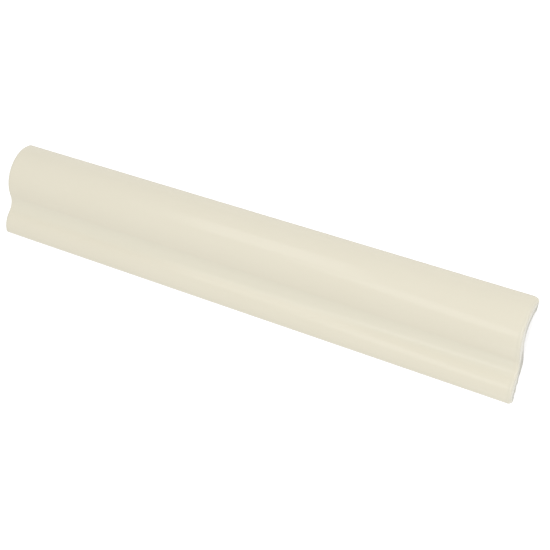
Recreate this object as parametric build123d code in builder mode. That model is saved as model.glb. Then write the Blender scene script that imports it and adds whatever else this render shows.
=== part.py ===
"""Glazed ceramic trim tile: a wall moulding with a roll, a cove and a lip along its length."""
import os
from math import acos, asin, degrees, sin, sqrt

from build123d import *

# Driving dimensions, in millimetres
LENGTH = 300.0  # end to end
BODY_THICKNESS = 5.0  # at the floor of the cove
ROLL_RISE = 6.5  # crown of the roll above the floor of the cove
ROLL_RADIUS = 19.0
ROLL_LAND = 1.0  # least height of the square edge that the roll falls to
ROLL_EASE = 2.5  # rounds the roll into that edge
COVE_RADIUS = 8.0
LIP_RISE = 1.5  # crown of the lip above the floor of the cove
LIP_RADIUS = 12.5
LIP_DROP = 2.3  # from the crown of the lip to the square edge that it falls to
LIP_EASE = 2.0  # rounds the lip into that edge
END_ROUND = 1.5  # arris round the face at both ends
HOLLOW_WALL = 5.5  # left between the face and the hollow in the back of the roll
KEY_WIDTH = 2.2  # grooves that key the flat of the back into its adhesive
KEY_DEPTH = 0.8
KEY_PITCH = 4.2
KEY_COUNT = 3

# Heights of the crowns and of the centres of the three arcs, above the back
crown_z = BODY_THICKNESS + ROLL_RISE
roll_z = crown_z - ROLL_RADIUS
cove_z = BODY_THICKNESS + COVE_RADIUS
lip_crown_z = BODY_THICKNESS + LIP_RISE
lip_z = lip_crown_z - LIP_RADIUS

# Slope of the face where the roll and the lip run into the cove
roll_lean = acos((cove_z - roll_z) / (COVE_RADIUS + ROLL_RADIUS))
lip_lean = acos((cove_z - lip_z) / (COVE_RADIUS + LIP_RADIUS))

# Height where the roll and the lip meet the long edges, and how far they reach there
roll_foot = max(ROLL_LAND, roll_z)
lip_foot = lip_crown_z - LIP_DROP
roll_reach = sqrt(ROLL_RADIUS**2 - (roll_foot - roll_z) ** 2)
lip_reach = sqrt(LIP_RADIUS**2 - (lip_foot - lip_z) ** 2)

# Places across the tile, from the middle of its width
cove_to_roll = (COVE_RADIUS + ROLL_RADIUS) * sin(roll_lean)
cove_to_lip = (COVE_RADIUS + LIP_RADIUS) * sin(lip_lean)
width = lip_reach + cove_to_lip + cove_to_roll + roll_reach
roll_edge_y = width / 2
roll_y = roll_edge_y - roll_reach
cove_y = roll_y - cove_to_roll
lip_y = cove_y - cove_to_lip
keys_y = (cove_y - width / 2 + END_ROUND) / 2  # middle of the flat behind the lip, inside its arris

# Start and turn of each arc, in degrees from +Y towards +Z
roll_start = degrees(asin((roll_foot - roll_z) / ROLL_RADIUS))
roll_turn = 90 + degrees(roll_lean) - roll_start
cove_start = degrees(roll_lean) - 90
cove_turn = degrees(roll_lean + lip_lean)
lip_start = 90 - degrees(lip_lean)
lip_turn = 180 - degrees(asin((lip_foot - lip_z) / LIP_RADIUS)) - lip_start

with BuildPart() as trim_tile:
    # Moulded body
    with BuildSketch(Plane.YZ) as section:
        with BuildLine():
            roll = CenterArc((roll_y, roll_z), ROLL_RADIUS, roll_start, roll_turn)
            cove = CenterArc((cove_y, cove_z), COVE_RADIUS, cove_start, -cove_turn)
            lip = CenterArc((lip_y, lip_z), LIP_RADIUS, lip_start, lip_turn)
            Polyline(lip @ 1, (-width / 2, 0), (width / 2, 0), roll @ 0)
        make_face()
        fillet(section.vertices().group_by(Axis.X)[-1].sort_by(Axis.Y)[-1], ROLL_EASE)
        fillet(section.vertices().group_by(Axis.X)[0].sort_by(Axis.Y)[-1], LIP_EASE)
    extrude(amount=LENGTH / 2, both=True)

    # Rounded arris round the face at both ends
    end_edges = trim_tile.faces().filter_by(Axis.X).edges()
    fillet(end_edges.filter_by_position(Axis.Z, 0, crown_z, inclusive=(False, True)), END_ROUND)

    # Hollow in the back of the roll, which keeps the wall even
    with BuildSketch(Plane.YZ):
        with BuildLine():
            crown = CenterArc((roll_y, roll_z), ROLL_RADIUS - HOLLOW_WALL, 0, 90 + degrees(roll_lean))
            run_out = CenterArc((cove_y, cove_z), COVE_RADIUS + HOLLOW_WALL, cove_start, -degrees(roll_lean))
            below = -ROLL_RADIUS
            Polyline(run_out @ 1, ((run_out @ 1).X, below), ((crown @ 0).X, below), crown @ 0)
        make_face()
    extrude(amount=LENGTH / 2, both=True, mode=Mode.SUBTRACT)

    # Keying grooves along the flat of the back
    with BuildSketch(Plane.YZ):
        with Locations((keys_y, 0)):
            with GridLocations(KEY_PITCH, 0, KEY_COUNT, 1):
                Rectangle(KEY_WIDTH, 2 * KEY_DEPTH)
    extrude(amount=LENGTH / 2, both=True, mode=Mode.SUBTRACT)

trim_tile.part.label = "trim_tile"

os.makedirs("parts", exist_ok=True)
export_step(trim_tile.part, "parts/trim_tile.step")
print(f"trim tile {LENGTH:.1f} x {width:.1f} x {crown_z:.1f} mm, {trim_tile.part.volume / 1000:.1f} cm3")
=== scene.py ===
"""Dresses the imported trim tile: a cream-glazed ceramic wall moulding that lies on its back on a white floor.

The tile is drawn again as one fine mesh, section by section along its length, from the CAD solid's own
measures. The coat of glaze, its ragged edge on the bare clay and the slow waviness that firing leaves in it
are then real geometry.
"""

import logging
import math
from collections.abc import Callable, Mapping
from dataclasses import dataclass, field
from enum import IntEnum
from functools import cached_property
from typing import Any

import bmesh
import bpy
import numpy as np
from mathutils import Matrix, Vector, noise


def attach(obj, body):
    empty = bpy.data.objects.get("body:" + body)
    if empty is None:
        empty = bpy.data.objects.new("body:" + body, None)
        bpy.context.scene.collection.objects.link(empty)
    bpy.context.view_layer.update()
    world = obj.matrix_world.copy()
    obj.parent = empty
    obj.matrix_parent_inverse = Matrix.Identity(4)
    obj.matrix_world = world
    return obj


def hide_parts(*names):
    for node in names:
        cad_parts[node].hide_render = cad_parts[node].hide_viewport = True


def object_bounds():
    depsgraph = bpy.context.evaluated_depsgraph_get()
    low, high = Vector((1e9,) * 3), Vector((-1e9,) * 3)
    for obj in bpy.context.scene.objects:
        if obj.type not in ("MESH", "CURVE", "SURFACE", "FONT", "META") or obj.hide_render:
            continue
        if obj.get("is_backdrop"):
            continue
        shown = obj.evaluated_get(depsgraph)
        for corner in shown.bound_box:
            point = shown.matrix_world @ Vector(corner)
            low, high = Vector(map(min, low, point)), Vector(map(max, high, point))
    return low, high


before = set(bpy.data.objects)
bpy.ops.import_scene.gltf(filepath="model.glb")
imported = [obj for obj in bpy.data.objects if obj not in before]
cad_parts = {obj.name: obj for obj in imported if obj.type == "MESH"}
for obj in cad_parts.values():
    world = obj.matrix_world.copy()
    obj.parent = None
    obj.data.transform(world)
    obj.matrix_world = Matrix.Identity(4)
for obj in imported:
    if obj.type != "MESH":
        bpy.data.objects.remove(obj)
CAD_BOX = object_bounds()

MM = 0.001  # one millimetre, in metres
QUARTER = math.pi / 2  # a right angle, in radians
TILE_NODE = "trim_tile"
TILE_BODY = "root"
COAT_ATTRIBUTE = "coat"  # share of the glaze's full depth at each point, which sets the pooled colour and the painted edge shade
BEAD_ROWS = 3  # rows below the full coat at a long edge: the back corner, the bead's foot and its shoulder

log = logging.getLogger("trim_tile")

Points = np.ndarray


def linear(colour: str) -> tuple[float, float, float, float]:
    """Turns an sRGB hex colour into linear light.

    Args:
        colour: Hex colour such as "#E5DFCC".

    Returns:
        Red, green, blue and an alpha of 1, in linear light.
    """
    knee, slope, offset, power = 0.04045, 12.92, 0.055, 2.4  # the curve of the sRGB standard
    channels = [int(colour[i : i + 2], 16) / 255 for i in (1, 3, 5)]
    curve = [c / slope if c <= knee else ((c + offset) / (1 + offset)) ** power for c in channels]
    return curve[0], curve[1], curve[2], 1.0


def per_metre(size_mm: float) -> float:
    """Gives a texture scale at which one feature is size_mm across."""
    return 1.0 / (size_mm * MM)


def smooth(share: Points) -> Points:
    """Eases a share in and out between 0 and 1, and holds it there outside them."""
    share = np.clip(share, 0.0, 1.0)
    return share * share * (3.0 - 2.0 * share)


def spokes(angles: Points) -> Points:
    """Gives the unit vector at each angle, in radians from +Y towards +Z."""
    return np.stack([np.cos(angles), np.sin(angles)], axis=1)


def add_node(
    tree: bpy.types.NodeTree,
    kind: str,
    inputs: Mapping[str | int, Any] | None = None,
    **settings: Any,
) -> bpy.types.Node:
    """Adds a node with its settings, and fills or links its inputs.

    Args:
        tree: Node tree that takes the node.
        kind: Blender's name for the kind of node.
        inputs: Value or source socket for each input, by name or number.
        **settings: Properties of the node itself.

    Returns:
        The new node.
    """
    node = tree.nodes.new(kind)
    for name, value in settings.items():
        setattr(node, name, value)
    for key, value in (inputs or {}).items():
        if isinstance(value, bpy.types.NodeSocket):
            tree.links.new(value, node.inputs[key])
        else:
            node.inputs[key].default_value = value
    return node


def new_material(name: str) -> tuple[bpy.types.Material, bpy.types.NodeTree]:
    """Makes an empty node material.

    Args:
        name: Name of the material.

    Returns:
        The material and its cleared node tree.
    """
    material = bpy.data.materials.new(name)
    material.use_nodes = True
    material.node_tree.nodes.clear()
    return material, material.node_tree


def add_object(name: str, data: bpy.types.ID) -> bpy.types.Object:
    """Makes an object and links it into the scene.

    Args:
        name: Name of the object.
        data: Its mesh, lamp or camera.

    Returns:
        The object, at the origin.
    """
    thing = bpy.data.objects.new(name, data)
    bpy.context.scene.collection.objects.link(thing)
    return thing


class MixSocket(IntEnum):
    """Places of the colour sockets on Blender's Mix node."""

    FACTOR = 0
    FIRST = 6
    SECOND = 7
    RESULT = 2


class Surface(IntEnum):
    """The tile's two surfaces, in the order of its material slots."""

    GLAZE = 0
    BISQUE = 1


class End(IntEnum):
    """The tile's two ends, as the way each faces along X."""

    LEFT = -1
    NEITHER = 0
    RIGHT = 1


class LongEdge(IntEnum):
    """The tile's two long edges, as the way each faces along Y."""

    LIP = -1
    ROLL = 1


class Part(IntEnum):
    """Stretches of the face, in their order from the roll's back corner to the lip's."""

    ROLL_LAND = 0
    ROLL_EASE = 1
    ROLL = 2
    COVE = 3
    LIP = 4
    LIP_EASE = 5
    LIP_LAND = 6


class Bend(IntEnum):
    """Which way a stretch of the face bends, as the way its outward normal points along its radius."""

    OUTWARD = 1
    HOLLOW = -1


class NoiseLayer(IntEnum):
    """Layers of one noise field, apart from each other so that no two ripples look alike."""

    EDGE = 0
    WAVE = 3
    OVERRUN = 7


@dataclass(frozen=True)
class CreamGlaze:
    """Opaque cream earthenware glaze, sprayed on and fired to a soft gloss.

    It gives the eye an even, slightly yellow cream with a broad, soft highlight. The cream is very faintly
    clouded and orange-peeled. It evens out where it pooled in the cove. Painted shade darkens and slightly
    greys it along the long edges and over each arris.
    """

    name: str = "cream_glaze_fired"
    body: str = "#E5DFCC"
    cloud: str = "#E3DDC9"
    pooled: str = "#E4DFCC"
    # painted shade, darker and slightly greyer, for the arrises and the strips along the long edges
    edge_shade: str = "#DDD8C6"
    ior: float = 1.52
    roughness_low: float = 0.10
    roughness_high: float = 0.14
    cloud_mm: float = 38.0
    cloud_detail: float = 2.0
    cloud_roughness: float = 0.45
    gloss_patch_mm: float = 14.0
    peel_mm: float = 2.4
    peel_depth_mm: float = 0.004
    soft_detail: float = 1.0  # of the gloss patches and the peel
    pools_from: float = 0.55  # share of the full depth at which it starts to pool
    edge_shade_below: float = 0.4  # share of the full depth below which painted shade darkens and greys the cream

    def material(self) -> bpy.types.Material:
        """Builds the glaze's node material.

        Returns:
            The material.
        """
        material, tree = new_material(self.name)
        place = add_node(tree, "ShaderNodeTexCoord").outputs["Object"]
        coat = add_node(tree, "ShaderNodeAttribute", attribute_name=COAT_ATTRIBUTE).outputs["Fac"]

        # Slow clouds of slightly deeper cream, from uneven spraying
        clouds = add_node(
            tree,
            "ShaderNodeTexNoise",
            {
                "Vector": place,
                "Scale": per_metre(self.cloud_mm),
                "Detail": self.cloud_detail,
                "Roughness": self.cloud_roughness,
            },
        )
        clouded = add_node(
            tree,
            "ShaderNodeMix",
            {
                MixSocket.FACTOR: clouds.outputs["Fac"],
                MixSocket.FIRST: linear(self.body),
                MixSocket.SECOND: linear(self.cloud),
            },
            data_type="RGBA",
        )

        # Depth of the coat: even on the face and pooled in the cove; where it is shallow, along the long edges
        # and over an arris, painted shade darkens and greys the cream
        pooling = add_node(
            tree,
            "ShaderNodeMapRange",
            {"Value": coat, "From Min": self.pools_from},
            interpolation_type="SMOOTHSTEP",
        )
        pooled = add_node(
            tree,
            "ShaderNodeMix",
            {
                MixSocket.FACTOR: pooling.outputs["Result"],
                MixSocket.FIRST: clouded.outputs[MixSocket.RESULT],
                MixSocket.SECOND: linear(self.pooled),
            },
            data_type="RGBA",
        )
        edge_shade_fade = add_node(
            tree,
            "ShaderNodeMapRange",
            {"Value": coat, "From Max": self.edge_shade_below},
            interpolation_type="SMOOTHSTEP",
        )
        edge_shaded = add_node(
            tree,
            "ShaderNodeMix",
            {
                MixSocket.FACTOR: edge_shade_fade.outputs["Result"],
                MixSocket.FIRST: linear(self.edge_shade),
                MixSocket.SECOND: pooled.outputs[MixSocket.RESULT],
            },
            data_type="RGBA",
        )

        # Patches of slightly softer gloss
        patches = add_node(
            tree,
            "ShaderNodeTexNoise",
            {"Vector": place, "Scale": per_metre(self.gloss_patch_mm), "Detail": self.soft_detail},
        )
        gloss = add_node(
            tree,
            "ShaderNodeMapRange",
            {
                "Value": patches.outputs["Fac"],
                "To Min": self.roughness_low,
                "To Max": self.roughness_high,
            },
        )

        # Orange peel left by the melt
        peel = add_node(
            tree,
            "ShaderNodeTexNoise",
            {"Vector": place, "Scale": per_metre(self.peel_mm), "Detail": self.soft_detail},
        )
        relief = add_node(
            tree,
            "ShaderNodeBump",
            {"Height": peel.outputs["Fac"], "Distance": self.peel_depth_mm * MM},
        )
        shader = add_node(
            tree,
            "ShaderNodeBsdfPrincipled",
            {
                "Base Color": edge_shaded.outputs[MixSocket.RESULT],
                "Roughness": gloss.outputs["Result"],
                "IOR": self.ior,
                "Normal": relief.outputs["Normal"],
            },
        )
        add_node(tree, "ShaderNodeOutputMaterial", {"Surface": shader.outputs["BSDF"]})
        return material


@dataclass(frozen=True)
class WhiteBisque:
    """White-bodied earthenware, dry-pressed from dust and fired, left bare on the back and the ends.

    It gives the eye a chalky, matt off-white with a fine pressed grain, open pits darkened by painted shade
    and faint warm patches.
    """

    name: str = "white_bisque_pressed"
    body: str = "#EFEDE4"
    patch: str = "#E9E6DA"
    # painted shade inside the pits
    pit_shade: str = "#CFCABA"
    ior: float = 1.5
    roughness: float = 0.88
    patch_mm: float = 22.0
    grain_mm: float = 0.7  # the pressed dust is finer, and is drawn coarser so that it shows
    grain_depth_mm: float = 0.03
    fine_detail: float = 3.0  # of the patches and the grain
    pit_spacing_mm: float = 2.6
    pit_share: float = 0.16  # half-width of a pit, as a share of that spacing
    pit_strength: float = 0.6  # how deep the pits sink, and how far painted shade darkens them

    def material(self) -> bpy.types.Material:
        """Builds the bare clay's node material.

        Returns:
            The material.
        """
        material, tree = new_material(self.name)
        place = add_node(tree, "ShaderNodeTexCoord").outputs["Object"]

        # Warm patches from the kiln
        patches = add_node(
            tree,
            "ShaderNodeTexNoise",
            {"Vector": place, "Scale": per_metre(self.patch_mm), "Detail": self.fine_detail},
        )
        patched = add_node(
            tree,
            "ShaderNodeMix",
            {
                MixSocket.FACTOR: patches.outputs["Fac"],
                MixSocket.FIRST: linear(self.body),
                MixSocket.SECOND: linear(self.patch),
            },
            data_type="RGBA",
        )

        # Open pits between pressed grains, darkened by painted shade
        pits = add_node(
            tree,
            "ShaderNodeTexVoronoi",
            {"Vector": place, "Scale": per_metre(self.pit_spacing_mm)},
        )
        pit_sink_and_shade = add_node(
            tree,
            "ShaderNodeMapRange",
            {
                "Value": pits.outputs["Distance"],
                "From Min": self.pit_share,
                "From Max": self.pit_share / 2,
                "To Max": self.pit_strength,
            },
            interpolation_type="SMOOTHSTEP",
        )
        pit_shaded = add_node(
            tree,
            "ShaderNodeMix",
            {
                MixSocket.FACTOR: pit_sink_and_shade.outputs["Result"],
                MixSocket.FIRST: patched.outputs[MixSocket.RESULT],
                MixSocket.SECOND: linear(self.pit_shade),
            },
            data_type="RGBA",
        )

        # Pressed grain, with the pits sunk into it
        grain = add_node(
            tree,
            "ShaderNodeTexNoise",
            {"Vector": place, "Scale": per_metre(self.grain_mm), "Detail": self.fine_detail},
        )
        height = add_node(
            tree,
            "ShaderNodeMath",
            {0: grain.outputs["Fac"], 1: pit_sink_and_shade.outputs["Result"]},
            operation="SUBTRACT",
        )
        relief = add_node(
            tree,
            "ShaderNodeBump",
            {"Height": height.outputs["Value"], "Distance": self.grain_depth_mm * MM},
        )
        shader = add_node(
            tree,
            "ShaderNodeBsdfPrincipled",
            {
                "Base Color": pit_shaded.outputs[MixSocket.RESULT],
                "Roughness": self.roughness,
                "IOR": self.ior,
                "Normal": relief.outputs["Normal"],
            },
        )
        add_node(tree, "ShaderNodeOutputMaterial", {"Surface": shader.outputs["BSDF"]})
        return material


@dataclass(frozen=True)
class GlazeSpread:
    """How deep the glaze lies on each part of the face, as a share of its full depth. The shallow lands and
    eases along the long edges take painted shade.
    """

    land: float = 0.1
    roll_ease: float = 0.15
    roll: float = 0.5
    cove: float = 1.0
    lip: float = 0.45
    lip_ease: float = 0.2


@dataclass(frozen=True)
class Land:
    """Straight upright stretch of the face along one long edge, in millimetres."""

    start: tuple[float, float]
    end: tuple[float, float]
    edge: LongEdge
    depth: float  # share of the glaze's full depth that stays here; a low share takes painted shade

    @property
    def length(self) -> float:
        """Length of the stretch."""
        return math.dist(self.start, self.end)

    def at(self, along: Points) -> tuple[Points, Points]:
        """Places points on the stretch.

        Args:
            along: Distances from its start.

        Returns:
            The points and their outward normals.
        """
        share = (along / self.length)[:, None]
        points = np.array(self.start) + share * (np.array(self.end) - np.array(self.start))
        return points, np.tile((float(self.edge), 0.0), (len(along), 1))


@dataclass(frozen=True)
class Arc:
    """Round stretch of the face, in millimetres and radians from +Y towards +Z."""

    centre: tuple[float, float]
    radius: float
    start: float
    turn: float
    bend: Bend
    depth: float  # share of the glaze's full depth that stays here; a low share takes painted shade

    @property
    def length(self) -> float:
        """Length of the stretch."""
        return self.radius * abs(self.turn)

    def at(self, along: Points) -> tuple[Points, Points]:
        """Places points on the stretch.

        Args:
            along: Distances from its start.

        Returns:
            The points and their outward normals.
        """
        spoke = spokes(self.start + self.turn * along / self.length)
        return np.array(self.centre) + self.radius * spoke, self.bend * spoke


@dataclass(frozen=True)
class MouldedSection:
    """The tile's cross-section in millimetres: Y across it, towards the roll, and Z up from its back."""

    glaze: GlazeSpread = field(default_factory=GlazeSpread)
    body_thickness: float = 5.0
    roll_rise: float = 6.5
    roll_radius: float = 19.0
    roll_land: float = 1.0
    roll_ease: float = 2.5
    cove_radius: float = 8.0
    lip_rise: float = 1.5
    lip_radius: float = 12.5
    lip_drop: float = 2.3
    lip_ease: float = 2.0
    hollow_wall: float = 5.5
    key_width: float = 2.2
    key_depth: float = 0.8
    key_pitch: float = 4.2
    key_count: int = 3
    key_margin: float = 1.5  # left at the lip's edge before the grooves are centred on the flat

    @cached_property
    def roll_z(self) -> float:
        """Height of the roll's centre."""
        return self.body_thickness + self.roll_rise - self.roll_radius

    @cached_property
    def cove_z(self) -> float:
        """Height of the cove's centre."""
        return self.body_thickness + self.cove_radius

    @cached_property
    def lip_z(self) -> float:
        """Height of the lip's centre."""
        return self.body_thickness + self.lip_rise - self.lip_radius

    @cached_property
    def roll_lean(self) -> float:
        """Slope of the face where the roll runs into the cove."""
        return math.acos((self.cove_z - self.roll_z) / (self.cove_radius + self.roll_radius))

    @cached_property
    def lip_lean(self) -> float:
        """Slope of the face where the lip runs into the cove."""
        return math.acos((self.cove_z - self.lip_z) / (self.cove_radius + self.lip_radius))

    @cached_property
    def roll_reach(self) -> float:
        """Distance from the roll's centre to its long edge."""
        return math.sqrt(self.roll_radius**2 - (self.roll_land - self.roll_z) ** 2)

    @cached_property
    def lip_reach(self) -> float:
        """Distance from the lip's centre to its long edge."""
        return math.sqrt(self.lip_radius**2 - (self.lip_radius - self.lip_drop) ** 2)

    @cached_property
    def half_width(self) -> float:
        """Half the width over both long edges."""
        to_roll = (self.cove_radius + self.roll_radius) * math.sin(self.roll_lean)
        to_lip = (self.cove_radius + self.lip_radius) * math.sin(self.lip_lean)
        return (self.lip_reach + to_lip + to_roll + self.roll_reach) / 2

    @cached_property
    def roll_y(self) -> float:
        """Place of the roll's centre."""
        return self.half_width - self.roll_reach

    @cached_property
    def cove_y(self) -> float:
        """Place of the cove's centre."""
        return self.roll_y - (self.cove_radius + self.roll_radius) * math.sin(self.roll_lean)

    @cached_property
    def lip_y(self) -> float:
        """Place of the lip's centre."""
        return self.lip_reach - self.half_width

    @cached_property
    def foot_angle(self) -> float:
        """Angle about the roll's centre at which the hollow meets the back."""
        return math.asin(-self.roll_z / (self.roll_radius - self.hollow_wall))

    @cached_property
    def run_out_angle(self) -> float:
        """Angle about the cove's centre at which the hollow runs out into the back."""
        return -math.asin(self.cove_z / (self.cove_radius + self.hollow_wall))

    @cached_property
    def keys_y(self) -> float:
        """Place of the middle one of the keying grooves."""
        return (self.cove_y - self.half_width + self.key_margin) / 2

    @cached_property
    def last_groove_y(self) -> float:
        """Place of the side of the keying grooves that is nearest the lip's edge."""
        return self.keys_y - (self.key_pitch * (self.key_count - 1) + self.key_width) / 2

    @cached_property
    def stretches(self) -> list[Land | Arc]:
        """The face's stretches, in the order of Part."""
        glaze = self.glaze
        edge = self.half_width
        roll_y = edge - self.roll_ease
        roll_out = roll_y - self.roll_y
        roll_up = math.sqrt((self.roll_radius - self.roll_ease) ** 2 - roll_out**2)
        roll_start = math.atan2(roll_up, roll_out)
        roll_z = self.roll_z + roll_up
        lip_y = self.lip_ease - edge
        lip_out = lip_y - self.lip_y
        lip_up = math.sqrt((self.lip_radius - self.lip_ease) ** 2 - lip_out**2)
        lip_end = math.atan2(lip_up, lip_out)
        lip_z = self.lip_z + lip_up
        return [
            Land((edge, 0.0), (edge, roll_z), LongEdge.ROLL, glaze.land),
            Arc((roll_y, roll_z), self.roll_ease, 0.0, roll_start, Bend.OUTWARD, glaze.roll_ease),
            Arc(
                centre=(self.roll_y, self.roll_z),
                radius=self.roll_radius,
                start=roll_start,
                turn=QUARTER + self.roll_lean - roll_start,
                bend=Bend.OUTWARD,
                depth=glaze.roll,
            ),
            Arc(
                centre=(self.cove_y, self.cove_z),
                radius=self.cove_radius,
                start=self.roll_lean - QUARTER,
                turn=-(self.roll_lean + self.lip_lean),
                bend=Bend.HOLLOW,
                depth=glaze.cove,
            ),
            Arc(
                centre=(self.lip_y, self.lip_z),
                radius=self.lip_radius,
                start=QUARTER - self.lip_lean,
                turn=lip_end - QUARTER + self.lip_lean,
                bend=Bend.OUTWARD,
                depth=glaze.lip,
            ),
            Arc((lip_y, lip_z), self.lip_ease, lip_end, math.pi - lip_end, Bend.OUTWARD, glaze.lip_ease),
            Land((-edge, lip_z), (-edge, 0.0), LongEdge.LIP, glaze.land),
        ]

    @cached_property
    def joins(self) -> Points:
        """Distance along the face to the start of each stretch, and to the end of the last."""
        return np.cumsum([0.0] + [stretch.length for stretch in self.stretches])

    @cached_property
    def girth(self) -> float:
        """Length of the face from corner to corner."""
        return float(self.joins[-1])

    @cached_property
    def turns(self) -> tuple[float, float, float]:
        """Distances along the face to the points over the hollow's foot, its crown's end and its run-out."""
        roll_start, cove_start = self.joins[Part.ROLL], self.joins[Part.COVE]
        over_foot = roll_start + (self.foot_angle - self.stretches[Part.ROLL].start) * self.roll_radius
        cove_turn = self.roll_lean - QUARTER - self.run_out_angle
        return over_foot, cove_start, cove_start + cove_turn * self.cove_radius

    def face_at(self, along: Points) -> tuple[Points, Points]:
        """Places points on the face.

        Args:
            along: Distances along the face from the back corner at the roll.

        Returns:
            The points and their outward normals.
        """
        points = np.zeros((len(along), 2))
        normals = np.zeros((len(along), 2))
        owner = np.clip(np.searchsorted(self.joins, along, side="right") - 1, 0, len(self.stretches) - 1)
        for number, stretch in enumerate(self.stretches):
            mine = owner == number
            points[mine], normals[mine] = stretch.at(along[mine] - self.joins[number])
        return points, normals

    def depth_at(self, along: Points, spread: float) -> Points:
        """Gives the share of the glaze's full depth along the face.

        Args:
            along: Distances along the face.
            spread: Length in millimetres over which one stretch's depth eases into the next.

        Returns:
            The shares, from 0 to 1.
        """
        depths = [stretch.depth for stretch in self.stretches]
        share = np.full(len(along), depths[0])
        for join, before, after in zip(self.joins[1:], depths, depths[1:]):
            share += (after - before) * smooth((along - join + spread / 2) / spread)
        return share

    def flat_back(self, step: float) -> Points:
        """Draws the flat of the back from the hollow's run-out to the lip's corner, round the grooves.

        Args:
            step: Longest distance between points, in millimetres.

        Returns:
            The points, the last of them at the corner.
        """
        run_out_y = self.cove_y + (self.cove_radius + self.hollow_wall) * math.cos(self.run_out_angle)
        corners = [(run_out_y, 0.0)]
        for number in range(self.key_count):
            y = self.keys_y + self.key_pitch * ((self.key_count - 1) / 2 - number)
            near, far = y + self.key_width / 2, y - self.key_width / 2
            corners += [(near, 0.0), (near, self.key_depth), (far, self.key_depth), (far, 0.0)]
        corners.append((-self.half_width, 0.0))
        points = [np.array(corners[0])]
        for start, end in zip(corners, corners[1:]):
            run = np.subtract(end, start)
            count = max(1, math.ceil(math.dist(start, end) / step))
            points += [np.array(start) + part / count * run for part in range(1, count + 1)]
        return np.array(points)


@dataclass(frozen=True)
class GlazeCoat:
    """Shape of the fired coat of glaze, in millimetres."""

    depth: float = 0.14  # glaze stands this far above the bare clay
    bead: float = 0.28  # width of the rounded edge where it stops
    bead_shoulder: float = 0.8  # share of the full depth halfway down that edge
    edge_height: float = 0.62  # where it stops above the back, along the long edges
    edge_ripple: float = 0.16
    edge_ripple_length: float = 9.0
    end_overrun: float = 0.7  # how far it ran over the arris onto each end
    end_ripple: float = 0.3
    end_ripple_length: float = 5.0
    end_depth: float = 0.35  # share of the full depth that gathers in its edge there
    skin: float = 0.02  # keeps the crests of the waves just under the CAD face
    wave: float = 0.05  # slow waviness of the fired surface
    wave_length: float = 34.0
    wave_across: float = 16.0
    ease: float = 5.0  # length over which its depth changes from one part of the face to the next
    arris_shade_reach: float = 2.5  # distance from an end over which the coat's share eases in, so that painted shade darkens the arris

    @property
    def bead_steps(self) -> tuple[tuple[float, float], ...]:
        """Steps over the rounded edge: the share of its width passed, and the share of the depth left."""
        return (0.0, 1.0), (0.5, self.bead_shoulder), (1.0, 0.0)

    def edge_at(self, x: float, edge: LongEdge) -> float:
        """Gives the height above the back at which the glaze stops on a long edge."""
        place = Vector((x / self.edge_ripple_length, edge, NoiseLayer.EDGE))
        return self.edge_height + self.edge_ripple * noise.noise(place)

    def overrun_at(self, along: float, end: End) -> float:
        """Gives how far past the arris the glaze ran onto an end, at a distance along the face."""
        place = Vector((along / self.end_ripple_length, end, NoiseLayer.OVERRUN))
        return self.end_overrun + self.end_ripple * noise.noise(place)

    def wave_at(self, x: float, along: float) -> float:
        """Gives how far the fired surface dips below the CAD face at a point."""
        place = Vector((x / self.wave_length, along / self.wave_across, NoiseLayer.WAVE))
        return self.skin + self.wave * (1.0 + math.tanh(noise.noise(place))) / 2


@dataclass(frozen=True)
class Station:
    """Place along the tile at which a section is drawn.

    Attributes:
        x: Place in millimetres along the tile, before the arris turns.
        end: The end whose arris it is on, if any.
        turn: Angle round the arris, from the face to the end.
    """

    x: float
    end: End = End.NEITHER
    turn: float = 0.0


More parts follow.
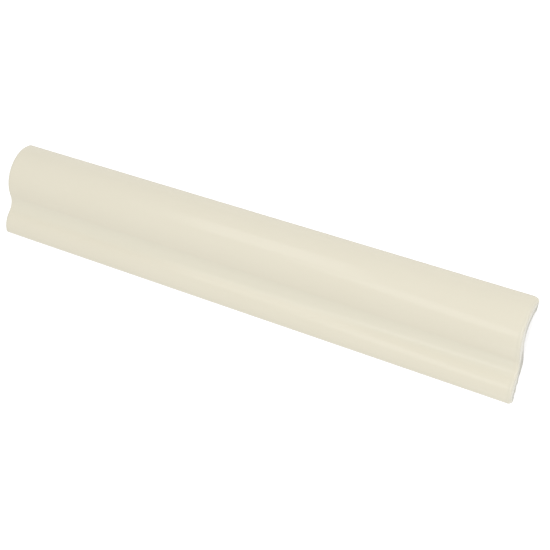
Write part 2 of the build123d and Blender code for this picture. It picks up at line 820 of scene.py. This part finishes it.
@dataclass
class TrimTile:
    """The whole tile: one pressed and fired piece, glazed on its face and bare on its back and ends.

    Its end arris is drawn tighter than the CAD solid's, and rounder at the roll's corners, as photographed.
    """

    section: MouldedSection = field(default_factory=MouldedSection)
    coat: GlazeCoat = field(default_factory=GlazeCoat)
    glaze: CreamGlaze = field(default_factory=CreamGlaze)
    bisque: WhiteBisque = field(default_factory=WhiteBisque)
    name: str = "glazed_trim_tile"
    length: float = 300.0
    arris: float = 1.0  # rounding of the glazed edge at both ends
    corner_round: float = 2.0  # the end arris goes wider round the roll's corners: this far across the tile
    corner_sweep: float = 3.0  # and this far along it
    corner_spread: float = 8.0  # from the roll's edge to where the arris is plain again, over the face
    arris_steps: int = 8
    station_step: float = 2.2  # longest distance between sections
    edge_rows: int = 10  # rows of points from the roll's glaze line to over the hollow's foot
    roll_rows: int = 40  # from there to over the end of the hollow's crown
    run_out_rows: int = 9  # and on to over its run-out
    back_step: float = 0.6  # longest distance between points on the flat of the back
    crease_deg: float = 42.0  # edges that turn further stay sharp

    @cached_property
    def flat(self) -> Points:
        """Points round the grooves on the flat of the back."""
        return self.section.flat_back(self.back_step)

    @cached_property
    def levels(self) -> Points:
        """Height of each row of the face above the bare clay, as a share of the coat's depth."""
        rows = self.edge_rows + self.roll_rows + self.run_out_rows + len(self.flat)
        level = np.ones(rows)
        level[:BEAD_ROWS] = (0.0, 0.0, self.coat.bead_shoulder)
        level[-BEAD_ROWS:] = level[:BEAD_ROWS][::-1]
        return level

    def stations(self) -> list[Station]:
        """Lists the sections.

        Returns:
            The stations, from the left end to the right.
        """
        straight = self.length / 2 - self.arris
        turns = [QUARTER * step / self.arris_steps for step in range(1, self.arris_steps + 1)]
        count = math.ceil(2 * straight / self.station_step)
        left = [Station(-straight, End.LEFT, turn) for turn in reversed(turns)]
        along = [Station(straight * (2 * step / count - 1)) for step in range(count + 1)]
        right = [Station(straight, End.RIGHT, turn) for turn in turns]
        return left + along + right

    def face_rows(self, x: float) -> Points:
        """Places the rows of points along the face at one section.

        Args:
            x: Place along the tile.

        Returns:
            Distances along the face.
        """
        bead = self.coat.bead
        over_foot, crown_end, over_run_out = self.section.turns
        near = self.coat.edge_at(x, LongEdge.ROLL)
        far = self.section.girth - self.coat.edge_at(x, LongEdge.LIP)
        return np.concatenate(
            [
                [0.0, near - bead, near - bead / 2],
                np.linspace(near, over_foot, self.edge_rows),
                np.linspace(over_foot, crown_end, self.roll_rows)[1:],
                np.linspace(crown_end, over_run_out, self.run_out_rows)[1:],
                np.linspace(over_run_out, far, len(self.flat) - BEAD_ROWS)[1:],
                [far + bead / 2, far + bead, self.section.girth],
            ]
        )

    def back_rows(self, first: Points, last: Points) -> Points:
        """Places the points of the back that match the rows of the face.

        Args:
            first: Back corner at the roll.
            last: Back corner at the lip.

        Returns:
            The points, one for each row of the face.
        """
        section = self.section
        inner = section.roll_radius - section.hollow_wall
        outer = section.cove_radius + section.hollow_wall
        foot_y = section.roll_y + inner * math.cos(section.foot_angle)
        share = np.linspace(0.0, 1.0, self.edge_rows + BEAD_ROWS)[:, None]
        foot = first + share * (np.array((foot_y, 0.0)) - first)
        crown_turn = np.linspace(section.foot_angle, QUARTER + section.roll_lean, self.roll_rows)
        crown = np.array((section.roll_y, section.roll_z)) + inner * spokes(crown_turn[1:])
        cove_turn = np.linspace(section.roll_lean - QUARTER, section.run_out_angle, self.run_out_rows)
        run_out = np.array((section.cove_y, section.cove_z)) + outer * spokes(cove_turn[1:])

        # The strip beside the lip's edge narrows where the arris draws the edge in
        land = self.flat[1:].copy()
        strip = land[:, 0] < section.last_groove_y
        squeeze = (last[0] - section.last_groove_y) / (-section.half_width - section.last_groove_y)
        land[strip, 0] = section.last_groove_y + squeeze * (land[strip, 0] - section.last_groove_y)
        return np.concatenate([foot, crown, run_out, land])

    def arris_at(self, rows: Points) -> tuple[Points, Points]:
        """Sizes the end arris along the face.

        Args:
            rows: Distances along the face.

        Returns:
            How far the arris reaches along the tile and across it, at each row.
        """
        corner = 1.0 - smooth(rows / self.corner_spread)
        plain = self.arris
        return plain + (self.corner_sweep - plain) * corner, plain + (self.corner_round - plain) * corner

    def ring(self, station: Station) -> tuple[Points, Points, Points]:
        """Draws one section as a closed ring, over the face and back along the back.

        Args:
            station: The section.

        Returns:
            The ring's points, the height of each above the bare clay as a share of the coat's depth, and the
            share of the glaze's full depth at each.
        """
        rows = self.face_rows(station.x)
        points, normals = self.section.face_at(rows)
        wave = np.array([self.coat.wave_at(station.x, along) for along in rows])
        dip = self.coat.depth * (1.0 - self.levels) + wave * self.levels
        sweep, across = self.arris_at(rows)
        half = self.length / 2
        before = station.x * (half - sweep) / (half - self.arris)
        x = before + station.end * (sweep - dip) * math.sin(station.turn)
        bare_x = before + station.end * (sweep - self.coat.depth) * math.sin(station.turn)
        inset = across - (across - dip) * math.cos(station.turn)
        face = points - inset[:, None] * normals

        # The back runs the other way, between the two corners that it shares with the face
        homeward = slice(-2, 0, -1)
        back = np.column_stack([bare_x, self.back_rows(face[0], face[-1])])[homeward]
        ring = np.concatenate([np.column_stack([x, face]), back])
        # the coat's share falls to nothing at each end, where painted shade darkens the arris
        from_end = np.clip((half - np.abs(x)) / self.coat.arris_shade_reach, 0.0, 1.0)
        depth = self.section.depth_at(rows, self.coat.ease) * from_end
        nothing = np.zeros(len(back))
        return ring, np.concatenate([self.levels, nothing]), np.concatenate([depth, nothing])

    def end_strip(self, end: End) -> list[tuple[Points, Points]]:
        """Draws the glaze that ran over the arris onto one end.

        Args:
            end: Which end.

        Returns:
            Three lines of points with their heights above the bare clay, one point for each row of the face:
            the edge of the full coat, the shoulder of its bead and the bare clay.
        """
        coat = self.coat
        end_x = end * self.length / 2
        rows = self.face_rows(end_x)
        points, normals = self.section.face_at(rows)
        across = self.arris_at(rows)[1]
        from_edge = np.minimum(rows, self.section.girth - rows)
        run = np.array([coat.overrun_at(along, end) for along in rows])
        run *= np.clip((from_edge - coat.edge_height) / coat.ease, 0.0, 1.0)
        lines = []
        for past, kept in coat.bead_steps:
            heights = kept * self.levels
            dip = coat.depth * (1.0 - heights)
            inset = across + run + past * coat.bead
            line = np.column_stack([end_x - end * dip, points - inset[:, None] * normals])
            lines.append((line, heights))
        return lines

    def build(self) -> bpy.types.Object:
        """Builds the tile's mesh.

        Returns:
            The object, in the CAD frame, with its coat's depth stored and its surfaces told apart.
        """
        shape = bmesh.new()
        depth_layer = shape.verts.layers.float.new(COAT_ATTRIBUTE)
        heights: dict[bmesh.types.BMVert, float] = {}

        def place(point: Points, height: float, depth: float) -> bmesh.types.BMVert:
            """Adds one point of the mesh.

            Args:
                point: Its place, in millimetres.
                height: Its height above the bare clay, as a share of the coat's depth.
                depth: Share of the glaze's full depth there.

            Returns:
                The new point.
            """
            corner = shape.verts.new(Vector(point) * MM)
            corner[depth_layer] = depth
            heights[corner] = height
            return corner

        rings = [[place(*corner) for corner in zip(*self.ring(station))] for station in self.stations()]
        for near, far in zip(rings, rings[1:]):
            for corners in zip(near, near[1:] + near[:1], far[1:] + far[:1], far):
                shape.faces.new(corners)
        self.close_end(shape, rings[0], End.LEFT, place)
        self.close_end(shape, rings[-1], End.RIGHT, place)
        self.part_surfaces(shape, heights)
        mesh = bpy.data.meshes.new(self.name)
        shape.to_mesh(mesh)
        shape.free()
        return add_object(self.name, mesh)

    def close_end(
        self,
        shape: bmesh.types.BMesh,
        ring: list[bmesh.types.BMVert],
        end: End,
        place: Callable[[Points, float, float], bmesh.types.BMVert],
    ) -> None:
        """Closes one end: the glaze's overrun, its bead and the bare clay inside it.

        Args:
            shape: Mesh being built.
            ring: The end's section.
            end: Which end.
            place: Adds one point of the mesh.
        """
        rows = len(self.levels)
        onward = slice(None, None, int(end))  # the order of corners that turns a face outward
        outer = ring[:rows]
        for line, heights in self.end_strip(end):
            inner = list(outer)
            for row in np.flatnonzero(self.levels):
                inner[row] = place(line[row], heights[row], self.coat.end_depth)
            for quad in zip(outer, outer[1:], inner[1:], inner):
                corners = list(dict.fromkeys(quad))
                if len(corners) > 2:
                    shape.faces.new(corners[onward])
            outer = inner
        shape.faces.new((outer + ring[rows:])[onward])

    def part_surfaces(self, shape: bmesh.types.BMesh, heights: Mapping[bmesh.types.BMVert, float]) -> None:
        """Tells glaze from bare clay, and keeps the line between them and the hard edges sharp.

        Args:
            shape: The tile's whole mesh.
            heights: Height of each of its points above the bare clay.
        """
        for face in shape.faces:
            glazed = max(heights[corner] for corner in face.verts) > 0.0
            face.material_index = Surface.GLAZE if glazed else Surface.BISQUE
            face.smooth = True
        crease = math.radians(self.crease_deg)
        for edge in shape.edges:
            one_surface = len({face.material_index for face in edge.link_faces}) == 1
            edge.smooth = one_surface and edge.calc_face_angle() < crease

    def dress(self, tile: bpy.types.Object) -> None:
        """Gives the tile its glaze and bare clay, and stands it in for the CAD solid.

        Args:
            tile: The built tile.
        """
        for material in (self.glaze.material(), self.bisque.material()):
            tile.data.materials.append(material)
        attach(tile, TILE_BODY)
        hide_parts(TILE_NODE)


def seen_directly(tree: bpy.types.NodeTree) -> bpy.types.NodeSocket:
    """Adds nodes that give 1 to camera, glossy and transmission rays, and 0 to light that falls on things.

    Args:
        tree: Node tree that takes the nodes.

    Returns:
        The socket with that number.
    """
    path = add_node(tree, "ShaderNodeLightPath")
    clear = add_node(
        tree,
        "ShaderNodeMath",
        {0: path.outputs["Is Glossy Ray"], 1: path.outputs["Is Transmission Ray"]},
        operation="MAXIMUM",
    )
    seen = add_node(
        tree,
        "ShaderNodeMath",
        {0: path.outputs["Is Camera Ray"], 1: clear.outputs["Value"]},
        operation="MAXIMUM",
    )
    return seen.outputs["Value"]


@dataclass(frozen=True)
class PaintedFloor:
    """Studio floor in matt emulsion paint, in metres.

    It gives the eye a flat, pale ground with no gloss, plain white where nothing shades it.
    """

    name: str = "studio_floor"
    paint_name: str = "matt_emulsion_rolled"
    side: float = 12.0
    drop: float = 0.0001  # just under the tile, so that the two don't share a plane
    colour: str = "#D6D6D6"
    glow: float = 0.53  # white that only the camera and reflections see

    def build(self) -> bpy.types.Object:
        """Builds the floor.

        Returns:
            The floor, painted.
        """
        half = self.side / 2
        corners = [(-half, -half), (half, -half), (half, half), (-half, half)]
        mesh = bpy.data.meshes.new(self.name)
        mesh.from_pydata([(x, y, -self.drop) for x, y in corners], [], [(0, 1, 2, 3)])
        mesh.materials.append(self.paint())
        floor = add_object(self.name, mesh)
        floor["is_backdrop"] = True
        return floor

    def paint(self) -> bpy.types.Material:
        """Builds the floor's paint.

        Returns:
            The material.
        """
        material, tree = new_material(self.paint_name)
        matt = add_node(tree, "ShaderNodeBsdfDiffuse", {"Color": linear(self.colour)})
        strength = add_node(
            tree,
            "ShaderNodeMath",
            {0: seen_directly(tree), 1: self.glow},
            operation="MULTIPLY",
        )
        glow = add_node(tree, "ShaderNodeEmission", {"Strength": strength.outputs["Value"]})
        both = add_node(tree, "ShaderNodeAddShader", {0: matt.outputs["BSDF"], 1: glow.outputs["Emission"]})
        add_node(tree, "ShaderNodeOutputMaterial", {"Surface": both.outputs["Shader"]})
        return material


@dataclass(frozen=True)
class Softbox:
    """Square soft lamp that points at the tile, in metres and watts."""

    name: str
    place: tuple[float, float, float]
    side: float
    watts: float

    def build(self) -> bpy.types.Object:
        """Builds the lamp.

        Returns:
            The lamp, in its place.
        """
        lamp = bpy.data.lights.new(self.name, "AREA")
        lamp.shape = "SQUARE"
        lamp.size = self.side
        lamp.energy = self.watts
        box = add_object(self.name, lamp)
        box.location = self.place
        box.rotation_euler = (-Vector(self.place)).to_track_quat("-Z", "Y").to_euler()
        return box


@dataclass(frozen=True)
class CeilingPanel:
    """Level soft panel that shines straight down, in metres, degrees and watts."""

    name: str
    place: tuple[float, float, float]
    width: float
    depth: float
    turn_deg: float
    watts: float

    def build(self) -> bpy.types.Object:
        """Builds the panel.

        Returns:
            The panel, in its place.
        """
        lamp = bpy.data.lights.new(self.name, "AREA")
        lamp.shape = "RECTANGLE"
        lamp.size = self.width
        lamp.size_y = self.depth
        lamp.energy = self.watts
        panel = add_object(self.name, lamp)
        panel.location = self.place
        panel.rotation_euler = (0.0, 0.0, math.radians(self.turn_deg))
        return panel


@dataclass(frozen=True)
class PhotoCamera:
    """Camera at the photograph's viewpoint, found by matching the tile's outline, in metres and degrees."""

    name: str = "photo_camera"
    place: tuple[float, float, float] = (0.32652, 0.10162, 0.56954)
    turn_deg: tuple[float, float, float] = (-1.8714, 29.7261, 14.8252)
    lens_mm: float = 87.5206
    sensor_mm: float = 36.0

    def build(self) -> bpy.types.Object:
        """Builds the camera and makes it the scene's own.

        Returns:
            The camera, in its place.
        """
        data = bpy.data.cameras.new(self.name)
        data.lens = self.lens_mm
        data.sensor_width = self.sensor_mm
        camera = add_object(self.name, data)
        camera.location = self.place
        camera.rotation_euler = [math.radians(angle) for angle in self.turn_deg]
        bpy.context.scene.camera = camera
        return camera


@dataclass
class Studio:
    """White studio: a floor, even light from all round, soft lamps and the photograph's camera.

    A key on the camera's side lights the tile, with fills at its right and along both of its long edges. The
    two ceiling panels on the left are what the glaze's highlights reflect.
    """

    floor: PaintedFloor = field(default_factory=PaintedFloor)
    lamps: tuple[Softbox | CeilingPanel, ...] = (
        Softbox("camera_side_key", place=(0.49, 0.0, 1.20), side=0.55, watts=2.3),
        Softbox("right_fill", place=(1.50, 0.0, 0.65), side=1.7, watts=6.6),
        Softbox("roll_side_fill", place=(0.20, 0.62, 0.33), side=0.4, watts=0.57),
        Softbox("lip_side_fill", place=(0.1, -1.15, 0.55), side=0.8, watts=0.7),
        CeilingPanel(
            "far_left_panel",
            place=(-0.58, 0.45, 1.0),
            width=0.295,
            depth=0.66,
            turn_deg=14.0,
            watts=0.50,
        ),
        CeilingPanel(
            "near_left_panel",
            place=(-0.28, -0.085, 1.0),
            width=0.24,
            depth=0.45,
            turn_deg=40.0,
            watts=0.27,
        ),
    )
    camera: PhotoCamera = field(default_factory=PhotoCamera)
    surround_name: str = "studio_surround"
    white: str = "#FFFFFF"
    surround: float = 0.72  # even light from all round
    backdrop: float = 1.0  # white that the camera and reflections see past the floor

    def build_surround(self) -> None:
        """Builds the even light and the white backdrop."""
        world = bpy.data.worlds.new(self.surround_name)
        world.use_nodes = True
        tree = world.node_tree
        tree.nodes.clear()
        strength = add_node(
            tree,
            "ShaderNodeMapRange",
            {"Value": seen_directly(tree), "To Min": self.surround, "To Max": self.backdrop},
        )
        light = add_node(
            tree,
            "ShaderNodeBackground",
            {"Color": linear(self.white), "Strength": strength.outputs["Result"]},
        )
        add_node(tree, "ShaderNodeOutputWorld", {"Surface": light.outputs["Background"]})
        bpy.context.scene.world = world

    def build(self) -> list[bpy.types.Object]:
        """Builds the studio.

        Returns:
            The objects in it.
        """
        bpy.context.scene.view_settings.view_transform = "Standard"
        self.build_surround()
        return [self.floor.build(), *[lamp.build() for lamp in self.lamps], self.camera.build()]


def write_sizes() -> None:
    """Lays the CAD model's box and the dressed model's box side by side, and keeps neither."""
    boxes = {"cad": CAD_BOX, "visual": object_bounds()}
    {name: [list(corner) for corner in box] for name, box in boxes.items()}


def main() -> None:
    """Builds the tile and the studio in order, and reports each piece."""
    tile = TrimTile()
    piece = tile.build()
    tile.dress(piece)
    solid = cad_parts[TILE_NODE].name
    log.info("%s: %d faces in place of %s", piece.name, len(piece.data.polygons), solid)
    for thing in Studio().build():
        log.info("%s in the studio", thing.name)
    write_sizes()


if __name__ == "__main__":
    logging.basicConfig(level=logging.INFO, format="%(name)s: %(message)s")
    main()
